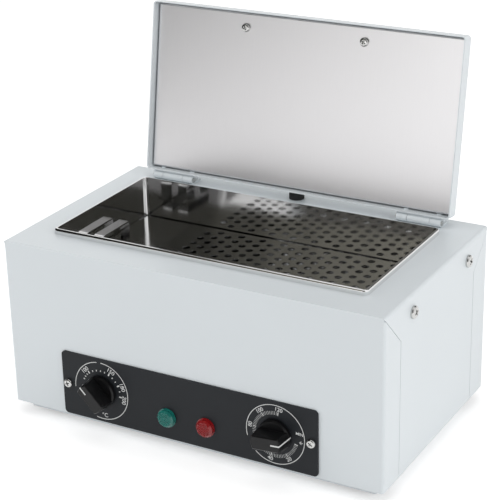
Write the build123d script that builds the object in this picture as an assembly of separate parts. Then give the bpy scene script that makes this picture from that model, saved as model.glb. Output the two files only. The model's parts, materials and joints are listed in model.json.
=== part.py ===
from build123d import *
import os
from math import cos, sin, tan, radians, degrees, atan2, sqrt

# Dry heat bench sterilizer, modelled with its lid open.
# While it is built, x = 0 is the middle, y = 0 is the casing's front face and z = 0 is the bench.

# Casing, which is laid out round the tank
tank_side = 31.0
tank_front = 32.2
works_h = 84.8
leaf_end_gap = 4.7
case_lift = 11.0
sheet_t = 1.2
bend_r = 2.6
wrap = 28.6
wrap_drop = 2.0
seam = 0.5
flange_w = 18.0
top_flange_w = 4.5
top_flange_inset = 14.0

# Base plate and feet
base_inset_x = 9.75
base_inset_y = 8.5
base_skirt = 7.0
base_bend_r = 2.0
foot_inset_x = 28.6
foot_inset_y = 21.5
foot_top_d = 18.0
foot_end_d = 15.5
foot_recess_d = 9.0
foot_recess_h = 5.2
foot_screw_len = 14.0
foot_notch_d = 11.0

# Screws, nuts and rivets
m4_d = 4.0
m4_head_d = 7.8
m4_head_h = 2.6
m4_nut_af = 7.0
m4_nut_h = 3.2
m5_d = 5.0
m5_head_d = 10.6
m5_head_h = 3.0
m5_nut_af = 8.0
m5_nut_h = 4.0
screw_play = 0.2
base_screw_len = 7.0
base_screw_x = 90.0
base_screw_from_wrap = 20.0
base_screw_wall_gap = 4.9
rivet_d = 3.0
rivet_head_d = 5.2
rivet_head_h = 0.9
rivet_tail_h = 0.8

# Tank
tank_w = 283.0
tank_l = 137.6
tank_t = 0.8
tank_r = 3.2
tank_depth = 62.0
rim_h = 4.6
rim_w = 2.3
rim_r = 1.9
rim_corner_r = 4.6
tank_play = 0.3

# Tank brackets
bracket_t = 1.2
bracket_drop = 26.0
bracket_top = 6.0
bracket_leg = 12.0
bracket_end = 10.0
side_screw_front = 18.5
side_screw_back = 9.2
side_screw_drop = 15.2
side_screw_len = 9.0

# Perforated tray
tray_drop = 32.0
tray_t = 1.0
tray_gap = 2.0
tray_corner_r = 2.0
hole_d = 6.6
hole_pitch = 12.0
tray_plain_l = 70.1
hole_end_margin = 13.0
hole_side_margin = 6.0
rail_w = 8.0
rail_t = 1.0
rail_h = 9.0
rail_end = 10.0
handle_l = 42.0
handle_w = 9.5
handle_t = 1.4
handle_h = 14.0
handle_wall_gap = 3.6
handle_foot = 7.0
handle_bend_r = 2.4

# Control plate
plate_w = 238.0
plate_h = 57.6
plate_t = 1.5
plate_x = -1.2
plate_low = 1.4
plate_r = 3.5
plate_screw_in = 5.6

# Knobs, spindles and what they turn
knob_left = 80.8
knob_right = 81.8
knob_below = 0.3
knob_gap = 0.5
knob_r = 14.0
knob_disc_out = 6.0
knob_disc_round = 1.2
knob_out = 19.5
knob_bar_w = 11.8
knob_bar_r = 13.8
knob_bar_taper = 4.0
knob_edge_r = 0.8
knob_recess_r = 9.6
knob_recess_roof = 1.6
mark_w = 1.3
mark_depth = 0.4
mark_start = 4.4
thermostat_angle = 134.0
timer_angle = 4.0
spindle_d = 6.0
spindle_play = 0.05
spindle_in_knob = 8.0
spindle_in_body = 8.0
bush_d = 10.0
bush_nut_af = 14.0
bush_nut_h = 2.2
bush_out = 2.5
thermostat_side = 36.0
thermostat_len = 26.0
thermostat_corner_r = 4.0
timer_d = 44.0
timer_len = 34.0
timer_cover_d = 38.0
timer_cover_len = 6.0
spade_w = 6.3
spade_t = 0.8
spade_l = 9.0
spade_pitch = 14.0
bulb_d = 6.0
bulb_len = 70.0
bulb_right = 18.0
bulb_behind = 25.0
capillary_d = 2.0
capillary_bend_r = 10.0
capillary_up = 12.0

# Signal lamps
green_left = 17.5
red_right = 18.8
lamp_below = 9.6
lens_d = 15.0
lens_lip_d = 16.6
lens_lip_h = 1.2
lens_out = 4.6
lens_round = 1.4
lamp_body_d = 12.0
lamp_body_len = 20.0
lamp_nut_d = 17.0
lamp_nut_h = 3.0

# Heater and insulation under the tank
insul_t = 12.0
insul_floor = 8.0
insul_room = 7.8
insul_top_drop = 40.0
heater_d = 7.0
heater_pitch = 80.0
heater_end_gap = 29.5
heater_tail = 9.0
cutout_d = 16.0
cutout_h = 6.5
cutout_x = 40.0
block_w = 44.0
block_l = 18.0
block_h = 13.0
block_x = 86.0
block_back = 53.2
block_ways = 3
block_well_d = 6.0
block_well_h = 7.0

# Back panel openings and cord gland
gland_side = 44.5
gland_z = 28.0
gland_thread_d = 16.0
gland_af = 20.0
gland_hex_h = 6.0
gland_cap_d = 18.0
gland_cap_h = 9.0
gland_bore_d = 7.0
gland_in = 9.0
gland_nut_h = 4.0
vent_w = 26.0
vent_h = 3.0
vent_pitch = 8.0
vent_count = 6
vent_z = 26.0
vent_x = 60.0

# Lid
lid_over_side = 5.5
lid_over_front = 4.2
lid_over_back = 8.9
lid_h = 15.0
lid_t = 1.0
lid_r = 3.0
lid_gap = 0.6
lid_open = 99.2
liner_t = 0.8
liner_recess = 6.5
liner_gap = 1.2
liner_fold = 4.0
liner_r = 1.6
pad_gap = 1.5
pad_hole_d = 10.0
lid_screw_in = 15.0
lid_screw_bite = 7.0
grip_w = 130.0
grip_screw_in = 8.9
grip_h = 28.0
grip_l = 16.0
grip_leg_w = 17.0
grip_bar_h = 9.0
grip_out_r = 9.0
grip_in_r = 5.0
grip_edge_r = 2.0

# Hinges and bumper
hinge_in = 27.6
hinge_w = 40.0
hinge_mid_w = 20.0
hinge_d = 6.6
hinge_pin_d = 3.0
hinge_play = 0.05
hinge_side_play = 0.35
hinge_back_gap = 0.3
hinge_axis_up = 3.6
leaf_t = 1.2
leaf_case_l = 15.0
leaf_lid_low = 2.0
leaf_lid_high = 13.2
leaf_clear = 0.5
rivet_x = 15.0
rivet_end = 3.5
rivet_lid_up = 10.0
pin_head_d = 4.6
pin_head_h = 0.8
bumper_d = 13.4
bumper_behind = 9.1
bumper_gap = 0.3
bumper_round = 1.6
bumper_stem_d = 5.0
bumper_stem_l = 5.0

# Places that follow from the sizes above
case_w = tank_w + 2 * tank_side
case_h = works_h + tank_t + tank_depth
tank_y1 = tank_front
tank_y2 = tank_front + tank_l
tank_mid_y = tank_front + tank_l / 2
lid_w = tank_w + 2 * lid_over_side
lid_front_y = tank_y1 - lid_over_front
lid_back_y = tank_y2 + lid_over_back
hinge_axis_y = lid_back_y + leaf_t + hinge_back_gap + hinge_d / 2
case_d = hinge_axis_y + leaf_case_l + leaf_end_gap
z_low = case_lift
z_top = case_lift + case_h
x_out = case_w / 2
x_in = x_out - sheet_t
y_back = case_d
base_top = z_low
base_under = z_low - sheet_t
tank_x = tank_w / 2
side_screw_y1 = tank_y1 + side_screw_front
side_screw_y2 = tank_y2 - side_screw_back
tank_floor = z_top - tank_depth
tank_under = tank_floor - tank_t
tray_top = z_top - tray_drop
tray_under = tray_top - tray_t
plate_z = plate_low + plate_h / 2
plate_screw_x = plate_w / 2 - plate_screw_in
knob_x_left = plate_x - knob_left
knob_x_right = plate_x + knob_right
knob_height = z_low + plate_z - knob_below
green_x = plate_x - green_left
red_x = plate_x + red_right
lamp_height = z_low + plate_z - lamp_below
bulb_x = knob_x_left + bulb_right
bulb_y = tank_mid_y + bulb_behind
heater_half = tank_x - heater_end_gap
block_y = case_d - block_back
gland_x = x_out - gland_side
lid_low = z_top + lid_gap
lid_high = lid_low + lid_h
lid_screw_x = grip_w / 2 - grip_screw_in
lid_screw_y = lid_front_y + lid_screw_in
hinge_x = lid_w / 2 - hinge_in
rivet_case_y = hinge_axis_y + leaf_case_l - rivet_end
bumper_y = hinge_axis_y + bumper_behind
liner_low = lid_low + liner_recess
hinge_axis_z = z_top + hinge_axis_up
heater_z = tank_under - heater_d / 2
insul_low = tank_under - insul_room - insul_floor


def box(x1, x2, y1, y2, z1, z2):
    """Box between two corners."""
    return Pos((x1 + x2) / 2, (y1 + y2) / 2, (z1 + z2) / 2) * Box(x2 - x1, y2 - y1, z2 - z1)


def rod_x(d, x1, x2, y, z):
    """Round rod along X."""
    return Pos((x1 + x2) / 2, y, z) * Rot(0, 90, 0) * Cylinder(d / 2, x2 - x1)


def rod_y(d, y1, y2, x, z):
    """Round rod along Y."""
    return Pos(x, (y1 + y2) / 2, z) * Rot(90, 0, 0) * Cylinder(d / 2, y2 - y1)


def rod_z(d, z1, z2, x, y):
    """Round rod along Z."""
    return Pos(x, y, (z1 + z2) / 2) * Cylinder(d / 2, z2 - z1)


def slab(w, l, r, z1, z2, x=0.0, y=0.0):
    """Plate with rounded upright corners."""
    outline = RectangleRounded(w, l, r) if r > 0 else Rectangle(w, l)
    return Pos(x, y, z1) * extrude(outline, z2 - z1)


def hex_z(af, z1, z2, x, y, bore):
    """Hexagon nut on an upright axis."""
    blank = Pos(x, y, z1) * extrude(RegularPolygon(af / sqrt(3), 6), z2 - z1)
    return blank - rod_z(bore, z1 - 1, z2 + 1, x, y)


def hex_y(af, y1, y2, x, z, bore):
    """Hexagon nut on an axis along Y."""
    blank = Pos(x, y2, z) * Rot(90, 0, 0) * extrude(RegularPolygon(af / sqrt(3), 6), y2 - y1)
    return blank - rod_y(bore, y1 - 1, y2 + 1, x, z)


def pan_screw(d, head_d, head_h, length):
    """Pan head screw with the head's seat at z = 0 and the shank pointing up."""
    head = Pos(0, 0, -head_h / 2) * Cylinder(head_d / 2, head_h)
    head = fillet(head.edges().group_by(Axis.Z)[0], head_h * 0.45)
    return head + rod_z(d, 0, length, 0, 0)


def tip(part, angle):
    """Turn a piece about the lid's hinge line."""
    return part.rotate(Axis((0, hinge_axis_y, hinge_axis_z), (1, 0, 0)), angle)


def wrap_cut(grow):
    """Prism on both sides of the casing that the front panel's wrap takes up."""
    reach = wrap + grow
    top = z_top - wrap_drop + grow
    points = [(-1, z_low - 1), (reach, z_low - 1), (reach, top - reach), (-1, top + 1)]
    face = make_face(Plane.YZ * Polyline(*points, close=True))
    return extrude(face, x_out + 1, both=True)


def casing_shell():
    """Top and both sides, bent from one sheet, with inward flanges below."""
    outer = Pos(0, case_d / 2, 0) * Rot(90, 0, 0) * extrude(Rectangle(case_w, case_h), case_d / 2, both=True)
    outer = Pos(0, 0, z_low + case_h / 2) * outer
    outer = fillet(outer.edges().filter_by(Axis.Y).group_by(Axis.Z)[-1], bend_r)
    inner = box(-x_in, x_in, -1, case_d + 1, z_low - 1, z_top - sheet_t)
    inner = fillet(inner.edges().filter_by(Axis.Y).group_by(Axis.Z)[-1], bend_r - sheet_t)
    shell = outer - inner
    cut = wrap_cut(seam)
    room = box(-x_in + flange_w, x_in - flange_w, -1, case_d + 1, z_low - 1, z_low + 2)
    side_cut = cut & box(-x_out - 1, x_out + 1, -1, wrap + seam, z_low - 1, z_top - sheet_t)
    back_cut = Pos(0, case_d, 0) * Rot(0, 0, 180) * side_cut
    flanges = box(-x_out + 0.5, x_out - 0.5, wrap + seam, case_d - wrap - seam, z_low, z_low + sheet_t) - room
    shell = shell - side_cut - back_cut + flanges
    hole = slab(tank_w + 2 * tank_t + 2 * tank_play, tank_l + 2 * tank_t + 2 * tank_play, tank_r + tank_t,
                z_top - 5, z_top + 5, 0, tank_mid_y)
    shell = shell - hole
    for sx in (-1, 1):
        for y in (side_screw_y1, side_screw_y2):
            z = z_top - side_screw_drop
            shell -= rod_x(m5_d + 2 * screw_play, sx * x_out - 3, sx * x_out + 3, y, z)
        for y in side_base_screw_ys():
            shell -= rod_z(m4_d, z_low - 1, z_low + 3, sx * base_screw_side_x, y)
        for dx in (-rivet_x, rivet_x):
            shell -= rod_z(rivet_d, z_top - 5, z_top + 1, sx * hinge_x + dx, rivet_case_y)
    shell -= rod_z(bumper_stem_d, z_top - 5, z_top + 1, 0, bumper_y)
    return shell


base_screw_side_x = x_out - base_inset_x - sheet_t - base_screw_wall_gap
base_screw_end_y = base_inset_y + sheet_t + base_screw_wall_gap


def side_base_screw_ys():
    """Places of the base screws along each side."""
    return (wrap + base_screw_from_wrap, case_d - wrap - base_screw_from_wrap)


def end_panel():
    """Front or back sheet: face, wraps on both sides, flanges above and below."""
    depth = wrap
    outer = box(-x_out, x_out, 0, depth + 20, z_low, z_top - sheet_t)
    outer = fillet(outer.edges().filter_by(Axis.Z).group_by(Axis.Y)[0], bend_r)
    inner = box(-x_in, x_in, sheet_t, depth + 30, z_low - 1, z_top + 1)
    inner = fillet(inner.edges().filter_by(Axis.Z).group_by(Axis.Y)[0], bend_r - sheet_t)
    sheet = (outer - inner) & wrap_cut(0)
    low = box(-x_in + flange_w, x_in - flange_w, 0.5, sheet_t + flange_w, z_low, z_low + sheet_t)
    high = box(-x_in + top_flange_inset, x_in - top_flange_inset, 0.5, sheet_t + top_flange_w,
               z_top - 2 * sheet_t, z_top - sheet_t)
    face = box(-x_in, x_in, 0, sheet_t, z_top - wrap_drop - 4, z_top - sheet_t)
    face = fillet(face.edges().filter_by(Axis.Y).group_by(Axis.Z)[-1], bend_r - sheet_t)
    sheet = sheet + face + low + high
    for sx in (-1, 1):
        sheet -= rod_z(m4_d, z_low - 1, z_low + 3, sx * base_screw_x, base_screw_end_y)
        sheet -= rod_z(foot_notch_d, z_low - 1, z_low + 3, sx * (x_out - foot_inset_x), foot_inset_y)
    return sheet


def front_panel():
    """Front sheet with the holes for the controls."""
    panel = end_panel()
    for x in (knob_x_left, knob_x_right):
        panel -= rod_y(bush_d + 2 * screw_play, -1, 3, x, knob_height)
    for x in (green_x, red_x):
        panel -= rod_y(lamp_body_d + 2 * screw_play, -1, 3, x, lamp_height)
    for sx in (-1, 1):
        panel -= rod_y(m4_d + 2 * screw_play, -1, 3, plate_x + sx * plate_screw_x, z_low + plate_z)
    return panel


def back_panel():
    """Back sheet with two groups of slots and the hole for the cord gland."""
    panel = end_panel()
    for sx in (-1, 1):
        for i in range(vent_count):
            z = z_low + vent_z + i * vent_pitch
            slot = Pos(sx * vent_x, 0, z) * Rot(90, 0, 0) * extrude(SlotOverall(vent_w, vent_h), 3, both=True)
            panel -= slot
    panel -= rod_y(gland_thread_d + 2 * screw_play, -1, 3, -gland_x, z_low + gland_z)
    return Pos(0, case_d, 0) * Rot(0, 0, 180) * panel


def foot_places():
    """Centres of the four feet."""
    fx = x_out - foot_inset_x
    return {"front_left": (-fx, foot_inset_y), "front_right": (fx, foot_inset_y),
            "back_left": (-fx, case_d - foot_inset_y), "back_right": (fx, case_d - foot_inset_y)}


def base_screw_places():
    """Where the base plate is screwed to the casing's flanges."""
    spots = []
    for sx in (-1, 1):
        spots += [(sx * base_screw_side_x, y) for y in side_base_screw_ys()]
        spots += [(sx * base_screw_x, base_screw_end_y), (sx * base_screw_x, case_d - base_screw_end_y)]
    return spots


def base_plate():
    """Inverted shallow tray that closes the casing from below."""
    w = case_w - 2 * base_inset_x
    l = case_d - 2 * base_inset_y
    low = z_low - base_skirt
    outer = box(-w / 2, w / 2, base_inset_y, base_inset_y + l, low, base_top)
    outer = fillet(outer.edges().filter_by(Axis.Z) + outer.edges().group_by(Axis.Z)[-1], base_bend_r)
    inner = box(-w / 2 + sheet_t, w / 2 - sheet_t, base_inset_y + sheet_t, base_inset_y + l - sheet_t,
                low - 1, base_under)
    inner = fillet(inner.edges().filter_by(Axis.Z) + inner.edges().group_by(Axis.Z)[-1],
                   base_bend_r - sheet_t)
    plate = outer - inner
    for x, y in foot_places().values():
        plate -= rod_z(m4_d + 2 * screw_play, low, base_top + 1, x, y)
    for x, y in base_screw_places():
        plate -= rod_z(m4_d + 2 * screw_play, low, base_top + 1, x, y)
    return plate


def foot(x, y):
    """Tapered rubber foot with a recess for its screw."""
    r1, r2 = foot_end_d / 2, foot_top_d / 2
    rr = foot_recess_d / 2
    rb = m4_d / 2 + screw_play
    top = base_under
    profile = [(rr, 0), (r1 - 1, 0), (r1, 1), (r2, top), (rb, top), (rb, foot_recess_h), (rr, foot_recess_h)]
    return Pos(x, y, 0) * revolve(make_face(Plane.XZ * Polyline(*profile, close=True)), Axis.Z)


def foot_screws():
    """One screw through each foot."""
    screw = pan_screw(m4_d, m4_head_d, m4_head_h, foot_screw_len)
    return [Pos(x, y, foot_recess_h) * screw for x, y in foot_places().values()]


def foot_nuts():
    """Nuts on the foot screws."""
    return [hex_z(m4_nut_af, base_top, base_top + m4_nut_h, x, y, m4_d) for x, y in foot_places().values()]


def base_screws():
    """Screws up through the base plate into the casing's flanges."""
    screw = pan_screw(m4_d, m4_head_d, m4_head_h, base_screw_len)
    return [Pos(x, y, base_under) * screw for x, y in base_screw_places()]


def tank():
    """Drawn stainless tank with a raised rolled rim that rests on the casing's top."""
    body = box(-tank_x - tank_t, tank_x + tank_t, tank_y1 - tank_t, tank_y2 + tank_t, tank_under, z_top + rim_h)
    body = fillet(body.edges().filter_by(Axis.Z) + body.edges().group_by(Axis.Z)[0], tank_r + tank_t)
    ring = slab(tank_w + 2 * rim_w, tank_l + 2 * rim_w, rim_corner_r, z_top, z_top + rim_h, 0, tank_mid_y)
    ring = fillet(ring.edges().group_by(Axis.Z)[-1], rim_r)
    space = box(-tank_x, tank_x, tank_y1, tank_y2, tank_floor, z_top + rim_h + 1)
    space = fillet(space.edges().filter_by(Axis.Z) + space.edges().group_by(Axis.Z)[0], tank_r)
    return body + ring - space


def tank_bracket(sx):
    """Z shaped bracket from the casing's side to the tank's wall."""
    y1, y2 = side_screw_y1 - bracket_end, side_screw_y2 + bracket_end
    web = z_top - bracket_drop
    wall = tank_x + tank_t
    part = box(x_in - bracket_t, x_in, y1, y2, web, z_top - bracket_top)
    part += box(wall, x_in, y1, y2, web, web + bracket_t)
    part += box(wall, wall + bracket_t, y1, y2, web - bracket_leg, web + bracket_t)
    for y in (side_screw_y1, side_screw_y2):
        part -= rod_x(m5_d, x_in - 3, x_in + 1, y, z_top - side_screw_drop)
    return part if sx > 0 else mirror(part, Plane.YZ)


def side_screws():
    """Screws that hold the brackets, heads outside."""
    screw = pan_screw(m5_d, m5_head_d, m5_head_h, side_screw_len)
    out = []
    for sx in (-1, 1):
        for y in (side_screw_y1, side_screw_y2):
            out.append(Pos(sx * x_out, y, z_top - side_screw_drop) * Rot(0, -90 * sx, 0) * screw)
    return out


def side_nuts():
    """Nuts of the side screws, inside the brackets."""
    blank = hex_z(m5_nut_af, 0, m5_nut_h, 0, 0, m5_d)
    at = x_in - bracket_t
    out = []
    for sx in (-1, 1):
        for y in (side_screw_y1, side_screw_y2):
            out.append(Pos(sx * at, y, z_top - side_screw_drop) * Rot(0, -90 * sx, 0) * blank)
    return out


def tray_rail(sx):
    """Angle rail on the tank's end wall, under the tray's end."""
    y1, y2 = tank_y1 + rail_end, tank_y2 - rail_end
    part = box(tank_x - rail_w, tank_x, y1, y2, tray_under - rail_t, tray_under)
    part += box(tank_x - rail_t, tank_x, y1, y2, tray_under - rail_h, tray_under)
    return part if sx > 0 else mirror(part, Plane.YZ)


def perforated_tray():
    """Flat tray with staggered holes from left of the middle to the right end."""
    w = tank_w - 2 * tray_gap
    l = tank_l - 2 * tray_gap
    plate = slab(w, l, tray_corner_r, tray_under, tray_top, 0, tank_mid_y)
    col = hole_pitch * sqrt(3) / 2
    x = tray_plain_l - w / 2
    shift = False
    points = []
    while x < w / 2 - hole_end_margin:
        y = 0.0 if shift else hole_pitch / 2
        while y < l / 2 - hole_side_margin:
            points += [(x, y)] if y == 0.0 else [(x, y), (x, -y)]
            y += hole_pitch
        x += col
        shift = not shift
    holes = extrude(Sketch() + [Pos(px, py) * RegularPolygon(hole_d / 2, 6) for px, py in points], tray_t + 2)
    return plate - Pos(0, tank_mid_y, tray_under - 1) * holes


def tray_handle(sx):
    """Bow handle bent from strip and welded on the tray."""
    top = tray_top + handle_h
    half = handle_l / 2
    t = handle_t
    f = handle_foot
    low = tray_top
    outer = [(-half - f, low), (-half - f, low + t), (-half, low + t), (-half, top), (half, top),
             (half, low + t), (half + f, low + t), (half + f, low), (half - t, low), (half - t, top - t),
             (-half + t, top - t), (-half + t, low)]
    face = make_face(Plane.YZ * Polyline(*outer, close=True))
    strip = extrude(face, handle_w / 2, both=True)
    upper = strip.edges().filter_by(Axis.X).group_by(Axis.Z)
    strip = fillet(upper[-1], handle_bend_r)
    upper = strip.edges().filter_by(Axis.X).filter_by(lambda e: abs(e.center().Z - (top - t)) < 0.01)
    strip = fillet(upper, handle_bend_r - t)
    at = tank_x - tray_gap - handle_wall_gap - handle_w / 2 + tray_gap
    return Pos(sx * at, tank_mid_y, 0) * strip


def control_plate():
    """Black plate behind the knobs and lamps."""
    plate = RectangleRounded(plate_w, plate_h, plate_r)
    part = Pos(plate_x, 0, z_low + plate_z) * Rot(90, 0, 0) * extrude(plate, plate_t)
    for x in (knob_x_left, knob_x_right):
        part -= rod_y(bush_d + 2 * screw_play, -5, 1, x, knob_height)
    for x in (green_x, red_x):
        part -= rod_y(lamp_body_d + 2 * screw_play, -5, 1, x, lamp_height)
    for sx in (-1, 1):
        part -= rod_y(m4_d + 2 * screw_play, -5, 1, plate_x + sx * plate_screw_x, z_low + plate_z)
    return part


def control_plate_screws():
    """Two screws through the control plate and the front panel."""
    screw = Rot(-90, 0, 0) * pan_screw(m4_d, m4_head_d, m4_head_h, plate_t + sheet_t + m4_nut_h + 1.5)
    return [Pos(plate_x + sx * plate_screw_x, -plate_t, z_low + plate_z) * screw for sx in (-1, 1)]


def control_plate_nuts():
    """Nuts behind the front panel."""
    return [hex_y(m4_nut_af, sheet_t, sheet_t + m4_nut_h, plate_x + sx * plate_screw_x, z_low + plate_z, m4_d)
            for sx in (-1, 1)]


knob_back = plate_t + knob_gap
bush_front = plate_t + bush_out
spindle_front = knob_back + spindle_in_knob
spindle_end = sheet_t + spindle_in_body


def knob(x, angle):
    """Disc with a bar grip across it and a marking groove from the bar's face down its end."""
    r = knob_r
    e = knob_disc_round
    half = [(0, knob_back), (r, knob_back), (r, knob_disc_out - e), (r - e, knob_disc_out), (0, knob_disc_out)]
    disc = revolve(make_face(Plane.XZ * Polyline(*half, close=True)), Axis.Z)
    tip_r = knob_bar_r - (knob_out - knob_disc_out) * tan(radians(knob_bar_taper))
    c = knob_edge_r
    end = [(0, knob_back + 1), (knob_bar_r, knob_back + 1), (knob_bar_r, knob_disc_out), (tip_r, knob_out - c),
           (tip_r - c, knob_out), (0, knob_out)]
    plug = revolve(make_face(Plane.XZ * Polyline(*end, close=True)), Axis.Z)
    bar = box(-knob_r - 1, knob_r + 1, -knob_bar_w / 2, knob_bar_w / 2, knob_back + 1, knob_out)
    bar = chamfer(bar.edges().filter_by(Axis.X).group_by(Axis.Z)[-1], c)
    body = disc + (bar & plug)
    body -= rod_z(2 * knob_recess_r, knob_back - 1, knob_disc_out - knob_recess_roof, 0, 0)
    body -= rod_z(spindle_d, knob_back - 1, spindle_front, 0, 0)
    body -= box(mark_start, knob_bar_r + 1, -mark_w / 2, mark_w / 2, knob_out - mark_depth, knob_out + 1)
    wedge = [(tip_r - mark_depth, knob_out + 1), (knob_bar_r + 1, knob_out + 1),
             (knob_bar_r + 1, knob_disc_out), (knob_bar_r - mark_depth, knob_disc_out)]
    wedge = make_face(Plane.XZ * Polyline(*wedge, close=True))
    body -= extrude(wedge, mark_w / 2, both=True)
    body -= box(knob_r - mark_depth, knob_r + 1, -mark_w / 2, mark_w / 2, knob_back - 1, knob_disc_out)
    return Pos(x, 0, knob_height) * Rot(90, 0, 0) * Rot(0, 0, angle) * body


def spindle(x):
    """Round spindle from the knob through the bush."""
    return rod_y(spindle_d, -spindle_front, spindle_end, x, knob_height)


def bush_bore(x):
    """Bore for a spindle, open at the front."""
    return rod_y(spindle_d + 2 * spindle_play, -bush_front - 1, spindle_end + 0.5, x, knob_height)


def spades(x, y, z):
    """Pair of flat terminals pointing back."""
    out = []
    for sx in (-1, 1):
        mid = x + sx * spade_pitch / 2
        out.append(box(mid - spade_w / 2, mid + spade_w / 2, y - 0.5, y + spade_l, z - spade_t / 2, z + spade_t / 2))
    return out


def thermostat_body():
    """Thermostat housing with its threaded bush."""
    x = knob_x_left
    block = RectangleRounded(thermostat_side, thermostat_side, thermostat_corner_r)
    body = Pos(x, sheet_t + thermostat_len, knob_height) * Rot(90, 0, 0) * extrude(block, thermostat_len)
    body += rod_y(bush_d, -bush_front, sheet_t + 1, x, knob_height)
    for s in spades(x, sheet_t + thermostat_len, knob_height - thermostat_side / 4):
        body += s
    return body - bush_bore(x)


def timer_body():
    """Clockwork timer housing with its threaded bush."""
    x = knob_x_right
    body = rod_y(timer_d, sheet_t, sheet_t + timer_len, x, knob_height)
    body += rod_y(timer_cover_d, sheet_t + timer_len - 1, sheet_t + timer_len + timer_cover_len, x, knob_height)
    body += rod_y(bush_d, -bush_front, sheet_t + 1, x, knob_height)
    for s in spades(x, sheet_t + timer_len + timer_cover_len, knob_height - timer_d / 5):
        body += s
    return body - bush_bore(x)


def bush_nut(x):
    """Flat nut on a bush, under the knob."""
    return hex_y(bush_nut_af, -plate_t - bush_nut_h, -plate_t, x, knob_height, bush_d)


def capillary_run():
    """Path of the thermostat's capillary, from its housing to the bulb."""
    x = knob_x_left
    start = sheet_t + thermostat_len
    z = knob_height + capillary_up
    bulb_z = tank_under - bulb_d / 2
    points = [(x, start, z), (x, bulb_y, z), (x, bulb_y, bulb_z), (bulb_x, bulb_y, bulb_z)]
    return FilletPolyline(*points, radius=capillary_bend_r)


def thermostat_bulb():
    """Sensing bulb under the tank with its capillary."""
    path = capillary_run()
    tube = sweep(Plane(path @ 0, z_dir=path % 0) * Circle(capillary_d / 2), path)
    bulb = rod_x(bulb_d, bulb_x - 0.5, bulb_x + bulb_len, bulb_y, tank_under - bulb_d / 2)
    return tube + bulb


def lamp_lens(x):
    """Domed lens with a lip that sits on the control plate."""
    r = lens_d / 2
    lip = lens_lip_d / 2
    f = plate_t
    out = lens_out
    e = lens_round
    half = [(0, f), (lip, f), (lip, f + lens_lip_h), (r, f + lens_lip_h), (r, f + out - e),
            (r - e, f + out), (0, f + out)]
    dome = revolve(make_face(Plane.XZ * Polyline(*half, close=True)), Axis.Z)
    return Pos(x, 0, lamp_height) * Rot(90, 0, 0) * dome


def lamp_body(x):
    """Lamp holder through the plate and panel."""
    body = rod_y(lamp_body_d, -plate_t, lamp_body_len, x, lamp_height)
    for s in (-1, 1):
        z = lamp_height + s * lamp_body_d / 4
        body += box(x - spade_w / 4, x + spade_w / 4, lamp_body_len - 0.5, lamp_body_len + spade_l,
                    z - spade_t / 2, z + spade_t / 2)
    return body


def lamp_nuts():
    """Ring nuts behind the panel."""
    out = []
    for x in (green_x, red_x):
        ring = rod_y(lamp_nut_d, sheet_t, sheet_t + lamp_nut_h, x, lamp_height)
        out.append(ring - rod_y(lamp_body_d, 0, sheet_t + lamp_nut_h + 1, x, lamp_height))
    return out


def heating_element():
    """Sheathed element bent to a U against the tank's floor, both ends out at the right."""
    y1, y2 = tank_mid_y - heater_pitch / 2, tank_mid_y + heater_pitch / 2
    end = tank_x + tank_t + insul_t + heater_tail
    bend = heater_pitch / 2 - 0.5
    path = FilletPolyline((end, y1, heater_z), (-heater_half, y1, heater_z), (-heater_half, y2, heater_z),
                          (end, y2, heater_z), radius=bend)
    return sweep(Plane(path @ 0, z_dir=path % 0) * Circle(heater_d / 2), path)


def thermal_cutout():
    """Round cutout pressed to the tank's floor."""
    disc = rod_z(cutout_d, tank_under - cutout_h, tank_under, cutout_x, tank_mid_y)
    return disc + box(cutout_x - cutout_d, cutout_x + cutout_d, tank_mid_y - 4, tank_mid_y + 4,
                      tank_under - sheet_t, tank_under)


def insulation():
    """Fibre blanket around the lower part of the tank and under the heater."""
    x1 = tank_x + tank_t
    y1, y2 = tank_y1 - tank_t, tank_y2 + tank_t
    body = box(-x1 - insul_t, x1 + insul_t, y1 - insul_t, y2 + insul_t, insul_low, z_top - insul_top_drop)
    body -= box(-x1, x1, y1, y2, insul_low + insul_floor, z_top)
    for s in (-1, 1):
        body -= rod_x(heater_d, x1 - 1, x1 + insul_t + 1, tank_mid_y + s * heater_pitch / 2, heater_z)
    body -= rod_z(capillary_d + 4, insul_low - 1, insul_low + insul_floor + 1, knob_x_left, bulb_y)
    return body


def terminal_block():
    """Ceramic terminal block on the base plate."""
    body = slab(block_w, block_l, 1.5, base_top, base_top + block_h, block_x, block_y)
    step = block_w / block_ways
    for i in range(block_ways):
        x = block_x + (i - (block_ways - 1) / 2) * step
        for s in (-1, 1):
            body -= rod_z(block_well_d, base_top + block_h - block_well_h, base_top + block_h + 1,
                          x, block_y + s * block_l / 4)
    return body


def cord_gland():
    """Gland in the back panel with a through bore for the mains cord."""
    z = z_low + gland_z
    y = case_d
    part = rod_y(gland_thread_d, y - sheet_t - gland_in, y + 1, gland_x, z)
    part += hex_y(gland_af, y, y + gland_hex_h, gland_x, z, gland_bore_d)
    cap = rod_y(gland_cap_d, y + gland_hex_h, y + gland_hex_h + gland_cap_h, gland_x, z)
    cap = fillet(cap.edges().group_by(Axis.Y)[-1], gland_cap_h / 3)
    end = y + gland_hex_h + gland_cap_h
    return part + cap - rod_y(gland_bore_d, y - sheet_t - gland_in - 1, end + 1, gland_x, z)


def gland_nut():
    """Lock nut of the gland, inside the panel."""
    y = case_d - sheet_t
    return hex_y(gland_af, y - gland_nut_h, y, gland_x, z_low + gland_z, gland_thread_d)


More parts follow.
